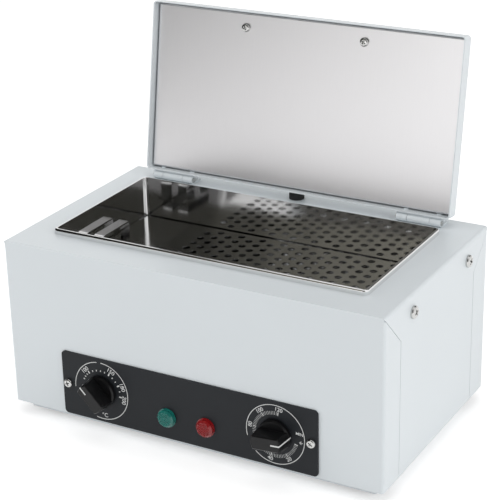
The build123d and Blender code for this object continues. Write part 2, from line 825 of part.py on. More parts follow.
def lid_shell():
    """Shallow white tray that closes over the rim."""
    y1, y2 = lid_front_y, lid_back_y
    outer = box(-lid_w / 2, lid_w / 2, y1, y2, lid_low, lid_high)
    outer = fillet(outer.edges().filter_by(Axis.Z) + outer.edges().group_by(Axis.Z)[-1], lid_r)
    inner = box(-lid_w / 2 + lid_t, lid_w / 2 - lid_t, y1 + lid_t, y2 - lid_t, lid_low - 1, lid_high - lid_t)
    inner = fillet(inner.edges().filter_by(Axis.Z) + inner.edges().group_by(Axis.Z)[-1], lid_r - lid_t)
    part = outer - inner
    for sx in (-1, 1):
        part -= rod_z(m4_d + 2 * screw_play, lid_high - 3, lid_high + 1, sx * lid_screw_x, lid_screw_y)
        for dx in (-rivet_x, rivet_x):
            part -= rod_y(rivet_d, y2 - 3, y2 + 1, sx * hinge_x + dx, z_top + rivet_lid_up)
    return part


def lid_liner():
    """Stainless inner sheet with its edges folded into the lid."""
    g = lid_t + liner_gap
    y1, y2 = lid_front_y + g, lid_back_y - g
    hx = lid_w / 2 - g
    outer = box(-hx, hx, y1, y2, liner_low, liner_low + liner_fold)
    outer = fillet(outer.edges().filter_by(Axis.Z) + outer.edges().group_by(Axis.Z)[0], liner_r)
    inner = box(-hx + liner_t, hx - liner_t, y1 + liner_t, y2 - liner_t, liner_low + liner_t, lid_high)
    inner = fillet(inner.edges().filter_by(Axis.Z) + inner.edges().group_by(Axis.Z)[0], liner_r - liner_t)
    part = outer - inner
    for sx in (-1, 1):
        part -= rod_z(m4_d + 2 * screw_play, liner_low - 1, liner_low + 3, sx * lid_screw_x, lid_screw_y)
    return part


def lid_insulation():
    """Fibre pad between the lid and its liner."""
    g = lid_t + liner_gap + liner_t + pad_gap
    y1, y2 = lid_front_y + g, lid_back_y - g
    hx = lid_w / 2 - g
    part = box(-hx, hx, y1, y2, liner_low + liner_t, lid_high - lid_t)
    for sx in (-1, 1):
        part -= rod_z(pad_hole_d, liner_low - 1, lid_high + 1, sx * lid_screw_x, lid_screw_y)
    return part


def lid_handle():
    """Bow handle on the outside of the lid, near its free edge."""
    outer = Pos(0, grip_h / 2) * Rectangle(grip_w, grip_h)
    outer = fillet(outer.vertices().group_by(Axis.Y)[-1], grip_out_r)
    inner = Pos(0, (grip_h - grip_bar_h) / 2) * Rectangle(grip_w - 2 * grip_leg_w, grip_h - grip_bar_h)
    inner = fillet(inner.vertices().group_by(Axis.Y)[-1], grip_in_r)
    bow = extrude(outer - inner, grip_l / 2, both=True)
    rim = bow.edges().filter_by(lambda e: e.center().Y > grip_bar_h / 2 + 0.01).group_by(Axis.Z)
    bow = fillet(rim[0] + rim[-1], grip_edge_r)
    bow = Pos(0, lid_screw_y, lid_high) * Rot(90, 0, 0) * bow
    for sx in (-1, 1):
        bow -= rod_z(m4_d, lid_high - 1, lid_high + lid_screw_bite + 1, sx * lid_screw_x, lid_screw_y)
    return bow


def lid_screws():
    """Screws from the liner through the lid into the handle."""
    length = lid_high - liner_low + lid_screw_bite
    screw = pan_screw(m4_d, m4_head_d, m4_head_h, length)
    return [Pos(sx * lid_screw_x, lid_screw_y, liner_low) * screw for sx in (-1, 1)]


def knuckle(x1, x2, bore):
    """Rolled knuckle of a hinge leaf."""
    ring = rod_x(hinge_d, x1, x2, hinge_axis_y, hinge_axis_z)
    return ring - rod_x(bore, x1 - 1, x2 + 1, hinge_axis_y, hinge_axis_z)


def hinge_case_leaf(sx):
    """Fixed leaf on the casing's top, with the two outer knuckles."""
    x = sx * hinge_x
    half = hinge_w / 2
    inner = hinge_mid_w / 2 + hinge_side_play
    y2 = hinge_axis_y + leaf_case_l
    leaf = box(x - half, x + half, hinge_axis_y, y2, z_top, z_top + leaf_t)
    leaf -= box(x - inner, x + inner, hinge_axis_y - 1, hinge_axis_y + hinge_d / 2 + leaf_clear,
                z_top - 1, z_top + 5)
    leaf = fillet(leaf.edges().filter_by(Axis.Z).group_by(Axis.Y)[-1], 2)
    part = leaf
    for s in (-1, 1):
        part += rod_x(hinge_d, x + s * (inner + half) / 2 - (half - inner) / 2,
                      x + s * (inner + half) / 2 + (half - inner) / 2, hinge_axis_y, hinge_axis_z)
    part -= rod_x(hinge_pin_d, x - half - 1, x + half + 1, hinge_axis_y, hinge_axis_z)
    for dx in (-rivet_x, rivet_x):
        part -= rod_z(rivet_d, z_top - 1, z_top + 3, x + dx, rivet_case_y)
    return part


def hinge_lid_leaf(sx):
    """Moving leaf on the lid's back wall, with the middle knuckle."""
    x = sx * hinge_x
    half = hinge_w / 2
    mid = hinge_mid_w / 2
    leaf = box(x - half, x + half, lid_back_y, lid_back_y + leaf_t, z_top + leaf_lid_low, z_top + leaf_lid_high)
    leaf = fillet(leaf.edges().filter_by(Axis.Y).group_by(Axis.Z)[-1], 2)
    web = box(x - mid, x + mid, lid_back_y + leaf_t / 2, hinge_axis_y, hinge_axis_z - leaf_t / 2,
              hinge_axis_z + leaf_t / 2)
    part = leaf + web + rod_x(hinge_d, x - mid, x + mid, hinge_axis_y, hinge_axis_z)
    part -= rod_x(hinge_pin_d + 2 * hinge_play, x - mid - 1, x + mid + 1, hinge_axis_y, hinge_axis_z)
    for dx in (-rivet_x, rivet_x):
        part -= rod_y(rivet_d, lid_back_y - 1, lid_back_y + 3, x + dx, z_top + rivet_lid_up)
    return part


def hinge_pin(sx):
    """Pin through the knuckles with a small head at each end."""
    x = sx * hinge_x
    half = hinge_w / 2
    pin = rod_x(hinge_pin_d, x - half - pin_head_h, x + half + pin_head_h, hinge_axis_y, hinge_axis_z)
    for s in (-1, 1):
        x1 = x + s * half + (0 if s > 0 else -pin_head_h)
        pin += rod_x(pin_head_d, x1, x1 + pin_head_h, hinge_axis_y, hinge_axis_z)
    return pin


def rivet(grip):
    """Rivet with its head below z = 0 and its tail above the grip."""
    part = rod_z(rivet_d, -0.1, grip + 0.1, 0, 0)
    part += rod_z(rivet_head_d, -rivet_head_h, 0, 0, 0)
    return part + rod_z(rivet_head_d - 0.8, grip, grip + rivet_tail_h, 0, 0)


def case_rivets():
    """Rivets of the fixed leaves."""
    out = []
    for sx in (-1, 1):
        for dx in (-rivet_x, rivet_x):
            one = Pos(sx * hinge_x + dx, rivet_case_y, z_top + leaf_t) * Rot(180, 0, 0) * rivet(leaf_t + sheet_t)
            out.append(one)
    return out


def lid_rivets():
    """Rivets of the moving leaves."""
    out = []
    for sx in (-1, 1):
        for dx in (-rivet_x, rivet_x):
            one = Rot(90, 0, 0) * rivet(leaf_t + lid_t)
            out.append(Pos(sx * hinge_x + dx, lid_back_y + leaf_t, z_top + rivet_lid_up) * one)
    return out


def lid_bumper():
    """Rubber bumper on the casing's top that the open lid leans on."""
    arm = hinge_axis_y - lid_back_y
    a = radians(lid_open)
    back = bumper_y + bumper_d / 2
    along = (back - hinge_axis_y + arm * cos(a)) / sin(a)
    height = hinge_axis_up + arm * sin(a) + along * cos(a) - bumper_gap
    part = rod_z(bumper_d, z_top, z_top + height, 0, bumper_y)
    part = fillet(part.edges().group_by(Axis.Z)[-1], bumper_round)
    return part + rod_z(bumper_stem_d, z_top - bumper_stem_l, z_top + 1, 0, bumper_y)


def build():
    """All nodes in the open pose, each a solid or a list of like solids."""
    nodes = {
        "casing_shell": casing_shell(),
        "front_panel": front_panel(),
        "back_panel": back_panel(),
        "base_plate": base_plate(),
        "foot_screws": foot_screws(),
        "foot_nuts": foot_nuts(),
        "base_screws": base_screws(),
        "tank": tank(),
        "tank_bracket_left": tank_bracket(-1),
        "tank_bracket_right": tank_bracket(1),
        "side_screws": side_screws(),
        "side_nuts": side_nuts(),
        "tray_rail_left": tray_rail(-1),
        "tray_rail_right": tray_rail(1),
        "perforated_tray": perforated_tray(),
        "tray_handle_left": tray_handle(-1),
        "tray_handle_right": tray_handle(1),
        "control_plate": control_plate(),
        "control_plate_screws": control_plate_screws(),
        "control_plate_nuts": control_plate_nuts(),
        "thermostat_knob": knob(knob_x_left, thermostat_angle),
        "thermostat_spindle": spindle(knob_x_left),
        "thermostat_body": thermostat_body(),
        "thermostat_nut": bush_nut(knob_x_left),
        "thermostat_bulb": thermostat_bulb(),
        "timer_knob": knob(knob_x_right, timer_angle),
        "timer_spindle": spindle(knob_x_right),
        "timer_body": timer_body(),
        "timer_nut": bush_nut(knob_x_right),
        "green_lamp_lens": lamp_lens(green_x),
        "green_lamp_body": lamp_body(green_x),
        "red_lamp_lens": lamp_lens(red_x),
        "red_lamp_body": lamp_body(red_x),
        "lamp_nuts": lamp_nuts(),
        "heating_element": heating_element(),
        "thermal_cutout": thermal_cutout(),
        "insulation": insulation(),
        "terminal_block": terminal_block(),
        "cord_gland": cord_gland(),
        "gland_nut": gland_nut(),
        "hinge_left_case_leaf": hinge_case_leaf(-1),
        "hinge_right_case_leaf": hinge_case_leaf(1),
        "hinge_left_pin": hinge_pin(-1),
        "hinge_right_pin": hinge_pin(1),
        "case_rivets": case_rivets(),
        "lid_bumper": lid_bumper(),
    }
    for name, (x, y) in foot_places().items():
        nodes["foot_" + name] = foot(x, y)
    lid = {
        "lid_shell": lid_shell(),
        "lid_liner": lid_liner(),
        "lid_insulation": lid_insulation(),
        "lid_handle": lid_handle(),
        "lid_screws": lid_screws(),
        "hinge_left_lid_leaf": hinge_lid_leaf(-1),
        "hinge_right_lid_leaf": hinge_lid_leaf(1),
        "lid_rivets": lid_rivets(),
    }
    for name, part in lid.items():
        if isinstance(part, list):
            nodes[name] = [tip(p, -lid_open) for p in part]
        else:
            nodes[name] = tip(part, -lid_open)
    return nodes


def solids_of(part):
    """Flat list of the solids in a node."""
    parts = part if isinstance(part, list) else [part]
    out = []
    for p in parts:
        out += list(p.solids())
    return out


nodes = build()
everything = Compound([s for part in nodes.values() for s in solids_of(part)])
extent = everything.bounding_box()
y_mid = (extent.min.Y + extent.max.Y) / 2

os.makedirs("parts", exist_ok=True)
for name, part in nodes.items():
    solids = [s.moved(Location((0, -y_mid, 0))) for s in solids_of(part)]
    export_step(solids[0] if len(solids) == 1 else Compound(solids), "parts/" + name + ".step")
print("nodes", len(nodes), "y_mid", round(y_mid, 4))
print("extent", [round(v, 3) for v in (extent.min.X, extent.min.Y, extent.min.Z)],
      [round(v, 3) for v in (extent.max.X, extent.max.Y, extent.max.Z)])
print("hinge axis", round(hinge_axis_y - y_mid, 4), round(hinge_axis_z, 4))
print("knob axes", knob_x_left, knob_x_right, round(knob_height, 4))
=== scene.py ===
import json
import math

import bpy
from mathutils import Matrix, Vector


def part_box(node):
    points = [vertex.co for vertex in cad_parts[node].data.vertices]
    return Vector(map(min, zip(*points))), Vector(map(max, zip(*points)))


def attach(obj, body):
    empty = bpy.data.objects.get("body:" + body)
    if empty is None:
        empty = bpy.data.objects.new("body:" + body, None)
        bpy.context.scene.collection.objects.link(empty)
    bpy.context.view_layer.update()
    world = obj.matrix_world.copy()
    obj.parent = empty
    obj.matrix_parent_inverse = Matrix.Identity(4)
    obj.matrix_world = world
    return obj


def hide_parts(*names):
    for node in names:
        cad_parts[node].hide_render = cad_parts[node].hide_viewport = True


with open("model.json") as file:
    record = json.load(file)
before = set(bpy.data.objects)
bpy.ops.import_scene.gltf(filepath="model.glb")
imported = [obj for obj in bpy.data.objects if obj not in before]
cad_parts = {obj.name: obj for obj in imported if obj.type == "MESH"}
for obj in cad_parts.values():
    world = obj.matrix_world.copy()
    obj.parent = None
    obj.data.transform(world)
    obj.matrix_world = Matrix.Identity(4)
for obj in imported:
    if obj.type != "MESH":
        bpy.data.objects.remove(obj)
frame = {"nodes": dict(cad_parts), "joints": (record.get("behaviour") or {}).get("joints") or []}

bl_info = {
    "name": "Dry heat sterilizer",
    "version": (1, 0, 0),
    "blender": (4, 5, 0),
    "location": "3D View > Sidebar > Sterilizer",
    "description": "Finishes, screws, tray, dials and lamps of a bench-top dry heat sterilizer",
    "category": "Object",
}

MM = 0.001
FRONT_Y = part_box("casing_shell")[0].y
CASE_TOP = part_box("casing_shell")[1].z
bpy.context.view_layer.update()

# Places on the control plate, in millimetres and degrees
THERMOSTAT_X = -82.0
TIMER_X = 80.6
KNOB_Z = 40.9
THERMOSTAT_ANGLE = 134.0
TIMER_ANGLE = 4.0
GREEN_X = -18.7
RED_X = 17.6
LAMP_Z = 31.6
PLATE_FRONT = -1.5


def spot(x, depth, z):
    """Point in millimetres: x from the middle, depth behind the casing's front, height above the bench."""
    return Vector((x * MM, FRONT_Y + depth * MM, z * MM))


# Finishes


class Value:
    """A number that varies over a surface, so that sums can be written with plain signs."""

    def __init__(self, finish, socket):
        self.finish = finish
        self.socket = socket

    def _join(self, operation, first, second):
        return self.finish.add("ShaderNodeMath", {"operation": operation}, [first, second])

    def __add__(self, other):
        return self._join("ADD", self, other)

    def __radd__(self, other):
        return self._join("ADD", other, self)

    def __sub__(self, other):
        return self._join("SUBTRACT", self, other)

    def __rsub__(self, other):
        return self._join("SUBTRACT", other, self)

    def __mul__(self, other):
        return self._join("MULTIPLY", self, other)

    def __rmul__(self, other):
        return self._join("MULTIPLY", other, self)


class Finish:
    """A material while it is put together."""

    def __init__(self, name, colour, rough, metal=0.0, **constants):
        self.material = bpy.data.materials.new(name)
        self.material.use_nodes = True
        self.tree = self.material.node_tree
        self.shader = next(n for n in self.tree.nodes if n.type == "BSDF_PRINCIPLED")
        self.shader.inputs["Base Color"].default_value = (*colour, 1.0)
        self.shader.inputs["Roughness"].default_value = rough
        self.shader.inputs["Metallic"].default_value = metal
        for label, amount in constants.items():
            self.shader.inputs[label.replace("_", " ").title().replace("Ior", "IOR")].default_value = amount
        self.material.diffuse_color = (*colour, 1.0)

    def add(self, kind, settings, values=(), output=0):
        """One node: its settings first, then the values or links of its sockets."""
        node = self.tree.nodes.new(kind)
        for key, setting in settings.items():
            if key == "stops":
                ramp = node.color_ramp
                for i, (place, shade) in enumerate(setting):
                    stop = ramp.elements[i] if i < 2 else ramp.elements.new(place)
                    stop.position = place
                    stop.color = shade
            else:
                setattr(node, key, setting)
        pairs = values.items() if isinstance(values, dict) else enumerate(values)
        for key, value in pairs:
            if isinstance(value, Value):
                self.tree.links.new(value.socket, node.inputs[key])
            elif value is not None:
                node.inputs[key].default_value = value
        return Value(self, node.outputs[output])

    def place(self, stretch=(1.0, 1.0, 1.0)):
        """The surface's own coordinates, stretched."""
        here = self.add("ShaderNodeTexCoord", {}, (), "Object")
        return self.add("ShaderNodeMapping", {}, {"Vector": here, "Scale": stretch})

    def grain(self, per_metre, detail=2.0, stretch=(1.0, 1.0, 1.0)):
        """Soft irregular variation from 0 to 1."""
        return self.add("ShaderNodeTexNoise", {}, {"Vector": self.place(stretch), "Scale": per_metre,
                                                   "Detail": detail, "Roughness": 0.5})

    def blend(self, first, second, share):
        """Colour between two colours."""
        values = {0: share, 6: (*first, 1.0), 7: (*second, 1.0)}
        return self.add("ShaderNodeMix", {"data_type": "RGBA"}, values, 2)

    def feed(self, label, value):
        self.tree.links.new(value.socket, self.shader.inputs[label])

    def relief(self, height, depth, strength=1.0):
        """Small relief in metres on the surface."""
        bump = self.add("ShaderNodeBump", {}, {"Height": height, "Distance": depth, "Strength": strength})
        self.feed("Normal", bump)


def tint(colour, factor):
    """Colour made lighter or darker."""
    return tuple(min(1.0, c * factor) for c in colour)


def powder_coat(name, colour):
    """Smooth powder coat with a faint orange peel."""
    f = Finish(name, colour, 0.38, coat_weight=0.25, coat_roughness=0.22)
    cloud = f.grain(9.0, 3.0)
    f.feed("Base Color", f.blend(tint(colour, 0.975), tint(colour, 1.02), cloud))
    peel = f.grain(620.0, 1.0)
    f.feed("Roughness", 0.34 + 0.10 * peel)
    f.relief(peel, 0.00003, 0.5)
    return f.material


def mirror_steel(name, colour):
    """Polished sheet: nearly a mirror, with the slight waves of drawn metal and fine wiping marks."""
    f = Finish(name, colour, 0.06, 1.0)
    wave = f.grain(22.0, 1.0)
    wipe = f.grain(90.0, 4.0, (6.0, 1.0, 1.0))
    f.feed("Roughness", 0.035 + 0.07 * wipe)
    f.relief(wave, 0.0011, 0.5)
    return f.material


def punched_steel(name, colour):
    """Bright punched sheet, a little flatter than the tank."""
    f = Finish(name, colour, 0.12, 1.0)
    wave = f.grain(30.0, 2.0)
    wipe = f.grain(140.0, 4.0, (1.0, 5.0, 1.0))
    f.feed("Roughness", 0.07 + 0.10 * wipe)
    f.feed("Base Color", f.blend(tint(colour, 0.93), tint(colour, 1.04), wave))
    f.relief(wave, 0.0004, 0.3)
    return f.material


def brushed_steel(name, colour, rough=0.3):
    """Satin sheet with fine upright brush lines and a cloudy sheen."""
    f = Finish(name, colour, rough, 1.0)
    lines = f.grain(260.0, 5.0, (6.0, 1.0, 0.12))
    cloud = f.grain(7.0, 2.0)
    f.feed("Roughness", rough - 0.05 + 0.07 * lines + 0.05 * cloud)
    f.feed("Base Color", f.blend(tint(colour, 0.96), tint(colour, 1.03), lines * 0.6 + cloud * 0.4))
    f.relief(lines, 0.000012, 0.6)
    return f.material


def plated_steel(name, colour):
    """Bright plating with slightly rubbed high spots."""
    f = Finish(name, colour, 0.2, 1.0)
    rub = f.grain(800.0, 3.0)
    f.feed("Roughness", 0.07 + 0.12 * rub)
    f.feed("Base Color", f.blend(tint(colour, 0.88), tint(colour, 1.05), rub))
    return f.material


def satin_lacquer(name, colour):
    """Dark lacquer with a fine tooth."""
    f = Finish(name, colour, 0.42, specular_ior_level=0.22)
    tooth = f.grain(1500.0, 2.0)
    cloud = f.grain(14.0, 2.0)
    f.feed("Base Color", f.blend(tint(colour, 0.85), tint(colour, 1.2), cloud))
    f.feed("Roughness", 0.38 + 0.1 * tooth)
    f.relief(tooth, 0.00002, 0.5)
    return f.material


def moulded_plastic(name, colour, rough=0.3):
    """Moulded plastic with faint flow marks."""
    f = Finish(name, colour, rough, specular_ior_level=0.3)
    flow = f.grain(120.0, 3.0, (1.0, 1.0, 3.0))
    f.feed("Roughness", rough - 0.04 + 0.1 * flow)
    f.feed("Base Color", f.blend(tint(colour, 0.8), tint(colour, 1.25), flow))
    f.relief(f.grain(2200.0, 1.0), 0.00001, 0.4)
    return f.material


def soft_rubber(name, colour):
    """Matt black rubber with a dusty bloom."""
    f = Finish(name, colour, 0.75)
    bloom = f.grain(260.0, 4.0)
    f.feed("Base Color", f.blend(colour, tint(colour, 1.9), bloom))
    f.feed("Roughness", 0.68 + 0.2 * bloom)
    f.relief(f.grain(1300.0, 2.0), 0.00004, 0.6)
    return f.material


def tinted_lens(name, colour):
    """Tinted translucent plastic with a glossy skin."""
    f = Finish(name, colour, 0.2, coat_weight=0.35, coat_roughness=0.06)
    depth = f.grain(420.0, 2.0)
    f.feed("Base Color", f.blend(tint(colour, 0.6), tint(colour, 1.3), depth))
    f.feed("Roughness", 0.14 + 0.12 * depth)
    return f.material


def screen_print(name, colour):
    """Printed ink with tiny pinholes."""
    f = Finish(name, colour, 0.5)
    ink = f.grain(3000.0, 2.0)
    f.feed("Base Color", f.blend(tint(colour, 0.8), colour, ink))
    f.feed("Roughness", 0.45 + 0.15 * ink)
    return f.material


def fibre_blanket(name, colour):
    """Matted mineral fibre."""
    f = Finish(name, colour, 0.95)
    mat = f.grain(300.0, 8.0, (1.0, 1.0, 2.5))
    f.feed("Base Color", f.blend(tint(colour, 0.7), tint(colour, 1.1), mat))
    f.relief(mat, 0.0008, 0.9)
    return f.material


def heat_toned_steel(name, colour):
    """Sheath with straw and blue tones from heat."""
    f = Finish(name, colour, 0.35, 0.9)
    tone = f.grain(40.0, 3.0)
    f.feed("Base Color", f.blend((0.30, 0.24, 0.16), (0.18, 0.20, 0.26), tone))
    f.feed("Roughness", 0.3 + 0.2 * f.grain(500.0, 3.0))
    return f.material


def fired_clay(name, colour):
    """Unglazed ceramic with fine specks."""
    f = Finish(name, colour, 0.7)
    speck = f.grain(900.0, 3.0)
    f.feed("Base Color", f.blend(tint(colour, 0.88), colour, speck))
    f.relief(speck, 0.00004, 0.5)
    return f.material


# Modelling


def rest_hands():
    """Leaves edit mode and selects nothing."""
    if bpy.context.object and bpy.context.object.mode != "OBJECT":
        bpy.ops.object.mode_set(mode="OBJECT")
    bpy.ops.object.select_all(action="DESELECT")


def take(piece):
    """Makes one piece the only one that is selected and active."""
    rest_hands()
    piece.hide_viewport = False
    piece.select_set(True)
    bpy.context.view_layer.objects.active = piece


def pick(kind, test):
    """In edit mode, selects the faces or edges whose middle and direction pass a test."""
    piece = bpy.context.object
    bpy.ops.mesh.select_mode(type=kind)
    bpy.ops.mesh.select_all(action="DESELECT")
    bpy.ops.object.mode_set(mode="OBJECT")
    mesh = piece.data
    count = 0
    if kind == "FACE":
        for face in mesh.polygons:
            face.select = bool(test(face.center, face.normal))
            count += face.select
    elif kind == "EDGE":
        for edge in mesh.edges:
            a, b = (mesh.vertices[i].co for i in edge.vertices)
            edge.select = bool(test(a, b))
            count += edge.select
    else:
        for corner in mesh.vertices:
            corner.select = bool(test(corner.co))
            count += corner.select
    bpy.ops.object.mode_set(mode="EDIT")
    bpy.ops.mesh.select_mode(type=kind)
    if count == 0:
        raise RuntimeError("nothing was picked on " + piece.name)


def edit(piece):
    """Opens one piece in edit mode."""
    take(piece)
    bpy.ops.object.mode_set(mode="EDIT")


def trim(piece, tool, how="DIFFERENCE"):
    """Cuts one piece with another, which is used up."""
    cut = piece.modifiers.new("cut", "BOOLEAN")
    cut.operation = how
    cut.solver = "EXACT"
    cut.object = tool
    take(piece)
    bpy.ops.object.modifier_apply(modifier=cut.name)
    bpy.data.objects.remove(tool)


def twin(piece, matrix):
    """Copy of a piece with its own mesh, put in another place."""
    other = piece.copy()
    other.data = piece.data.copy()
    other.data.transform(matrix)
    bpy.context.scene.collection.objects.link(other)
    return other


def gather(pieces, name):
    """Several pieces joined to one."""
    rest_hands()
    for piece in pieces:
        piece.select_set(True)
    bpy.context.view_layer.objects.active = pieces[0]
    if len(pieces) > 1:
        bpy.ops.object.join()
    pieces[0].name = name
    return pieces[0]


def finished(piece, name, body, material, nodes=(), smooth=35.0):
    """Settles a piece: its place goes in its mesh, it gets its finish and rides on its body."""
    take(piece)
    bpy.ops.object.transform_apply(location=True, rotation=True, scale=True)
    if smooth:
        bpy.ops.object.shade_smooth_by_angle(angle=math.radians(smooth))
    piece.name = name
    piece.data.name = name
    piece.data.materials.clear()
    piece.data.materials.append(material)
    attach(piece, body)
    if nodes:
        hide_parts(*nodes)
    rest_hands()
    return piece


def dress(nodes, material):
    """Gives CAD nodes their finish."""
    for node in nodes.split():
        mesh = frame["nodes"][node].data
        mesh.materials.clear()
        mesh.materials.append(material)


def kept(name, make, *values):
    """A finish that is made once and then used again."""
    name += "_finish"
    return bpy.data.materials.get(name) or make(name, *values)


# Sizes and colours that a user would change


class SterilizerSizes(bpy.types.PropertyGroup):
    """Sizes of the small pieces, in metres."""

    hole_diameter: bpy.props.FloatProperty(
        name="Tray hole", description="Diameter of the tray's holes", default=0.0066, unit="LENGTH")
    hole_pitch: bpy.props.FloatProperty(
        name="Tray pitch", description="Distance between neighbouring holes", default=0.012, unit="LENGTH")
    numeral_height: bpy.props.FloatProperty(
        name="Numerals", description="Height of the dial numerals' font", default=0.0052, unit="LENGTH")
    ring_radius: bpy.props.FloatProperty(
        name="Dial ring", description="Radius of the printed ring round a dial", default=0.026, unit="LENGTH")
    print_width: bpy.props.FloatProperty(
        name="Line width", description="Width of the printed lines", default=0.0006, unit="LENGTH")
    print_height: bpy.props.FloatProperty(
        name="Ink", description="Thickness of the printed ink", default=0.00006, unit="LENGTH")
    facet_pitch: bpy.props.FloatProperty(
        name="Lens facets", description="Width of a facet on a lamp's lens", default=0.00125, unit="LENGTH")
    recess_share: bpy.props.FloatProperty(
        name="Cross recess", description="Span of the cross as a share of the screw's head", default=0.62)


class SterilizerColours(bpy.types.PropertyGroup):
    """Colours of the finishes."""

    coat: bpy.props.FloatVectorProperty(
        name="Coat", description="White powder coat", subtype="COLOR", default=(0.73, 0.775, 0.80))
    steel: bpy.props.FloatVectorProperty(
        name="Steel", description="Polished stainless steel", subtype="COLOR", default=(0.80, 0.80, 0.80))
    liner: bpy.props.FloatVectorProperty(
        name="Liner", description="Satin steel of the liner", subtype="COLOR", default=(0.80, 0.79, 0.80))
    plate: bpy.props.FloatVectorProperty(
        name="Plate", description="Lacquer of the plate", subtype="COLOR", default=(0.013, 0.015, 0.018))
    knob: bpy.props.FloatVectorProperty(
        name="Knob", description="Plastic of the knobs", subtype="COLOR", default=(0.005, 0.005, 0.0055))
    ink: bpy.props.FloatVectorProperty(
        name="Ink", description="Ink of the dials", subtype="COLOR", default=(0.80, 0.81, 0.80))
    green: bpy.props.FloatVectorProperty(
        name="Green lamp", description="Green lens", subtype="COLOR", default=(0.010, 0.16, 0.135))
    red: bpy.props.FloatVectorProperty(
        name="Red lamp", description="Red lens", subtype="COLOR", default=(0.27, 0.008, 0.010))


def sizes():
    return bpy.context.scene.sterilizer_sizes


def colours():
    return bpy.context.scene.sterilizer_colours


# Pieces


class STERILIZER_OT_finishes(bpy.types.Operator):
    """Give the sheet metal, controls and inner parts their finishes"""

    bl_idname = "sterilizer.finishes"
    bl_label = "Finishes"

    def execute(self, context):
        c = colours()
        white = kept("white_powder_coat", powder_coat, tuple(c.coat))
        dress("casing_shell front_panel back_panel lid_shell base_plate", white)
        hinge_white = kept("hinge_paint", powder_coat, tint(tuple(c.coat), 0.96))
        dress("hinge_left_case_leaf hinge_right_case_leaf", hinge_white)
        dress("hinge_left_lid_leaf hinge_right_lid_leaf", hinge_white)
        dress("case_rivets lid_rivets", hinge_white)
        dress("tank", kept("tank_mirror", mirror_steel, tuple(c.steel)))
        tray = kept("tray_steel", punched_steel, tuple(c.steel))
        dress("perforated_tray tray_handle_left tray_handle_right tray_rail_left tray_rail_right", tray)
        dress("lid_liner", kept("liner_steel", brushed_steel, tuple(c.liner), 0.3))
        plated = kept("zinc_plate", plated_steel, (0.58, 0.58, 0.57))
        dress("foot_nuts side_nuts tank_bracket_left tank_bracket_right control_plate_nuts lamp_nuts", plated)
        dress("thermostat_nut timer_nut thermostat_spindle timer_spindle", plated)
        dress("hinge_left_pin hinge_right_pin", plated)
        dress("thermal_cutout foot_screws base_screws side_screws control_plate_screws lid_screws", plated)
        dress("control_plate", kept("plate_lacquer", satin_lacquer, tuple(c.plate)))
        knob = kept("knob_plastic", moulded_plastic, tuple(c.knob), 0.3)
        dress("thermostat_knob timer_knob", knob)
        dress("lid_handle", kept("handle_plastic", moulded_plastic, (0.014, 0.014, 0.015), 0.36))
        dress("foot_front_left foot_front_right foot_back_left foot_back_right lid_bumper",
              kept("foot_rubber", soft_rubber, (0.014, 0.014, 0.014)))
        dress("green_lamp_lens", kept("green_lens", tinted_lens, tuple(c.green)))
        dress("red_lamp_lens", kept("red_lens", tinted_lens, tuple(c.red)))
        phenolic = kept("phenolic_housing", moulded_plastic, (0.03, 0.022, 0.018), 0.45)
        dress("thermostat_body timer_body green_lamp_body red_lamp_body", phenolic)
        dress("cord_gland gland_nut", kept("gland_nylon", moulded_plastic, (0.02, 0.02, 0.021), 0.4))
        dress("thermostat_bulb", kept("drawn_copper", plated_steel, (0.72, 0.42, 0.26)))
        dress("heating_element", kept("heater_sheath", heat_toned_steel, (0.25, 0.23, 0.22)))
        dress("insulation lid_insulation", kept("fibre_mat", fibre_blanket, (0.62, 0.58, 0.48)))
        dress("terminal_block", kept("steatite", fired_clay, (0.72, 0.69, 0.62)))
        return {"FINISHED"}


class STERILIZER_OT_tray(bpy.types.Operator):
    """Punch the tray's round holes in a plate with rounded corners"""

    bl_idname = "sterilizer.tray"
    bl_label = "Perforated tray"

    def execute(self, context):
        s = sizes()
        low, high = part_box("perforated_tray")
        size = high - low
        mid = (low + high) / 2
        rest_hands()
        bpy.ops.mesh.primitive_cube_add(size=1.0, location=mid)
        plate = bpy.context.object
        plate.scale = size
        bpy.ops.object.transform_apply(location=True, rotation=True, scale=True)
        edit(plate)
        pick("EDGE", lambda a, b: abs(a.z - b.z) > size.z / 2)
        bpy.ops.mesh.bevel(offset=0.002, segments=5, affect="EDGES")
        rest_hands()
        column = s.hole_pitch * math.sqrt(3) / 2
        first = mid.x - 0.0694
        cutters = []
        for start, columns, rows in ((0, 10, 10), (1, 9, 11)):
            y = mid.y - (rows - 1) * s.hole_pitch / 2
            bpy.ops.mesh.primitive_cylinder_add(vertices=16, radius=s.hole_diameter / 2, depth=size.z * 3,
                                                location=(first + start * column, y, mid.z))
            punch = bpy.context.object
            for step, count in (((0.0, s.hole_pitch, 0.0), rows), ((2 * column, 0.0, 0.0), columns)):
                row = punch.modifiers.new("row", "ARRAY")
                row.use_relative_offset = False
                row.use_constant_offset = True
                row.constant_offset_displace = step
                row.count = count
                bpy.ops.object.modifier_apply(modifier=row.name)
            cutters.append(punch)
            rest_hands()
        trim(plate, gather(cutters, "punches"))
        steel = kept("tray_steel", punched_steel, tuple(colours().steel))
        finished(plate, "tray_plate", "cabinet", steel, ["perforated_tray"], 30.0)
        return {"FINISHED"}


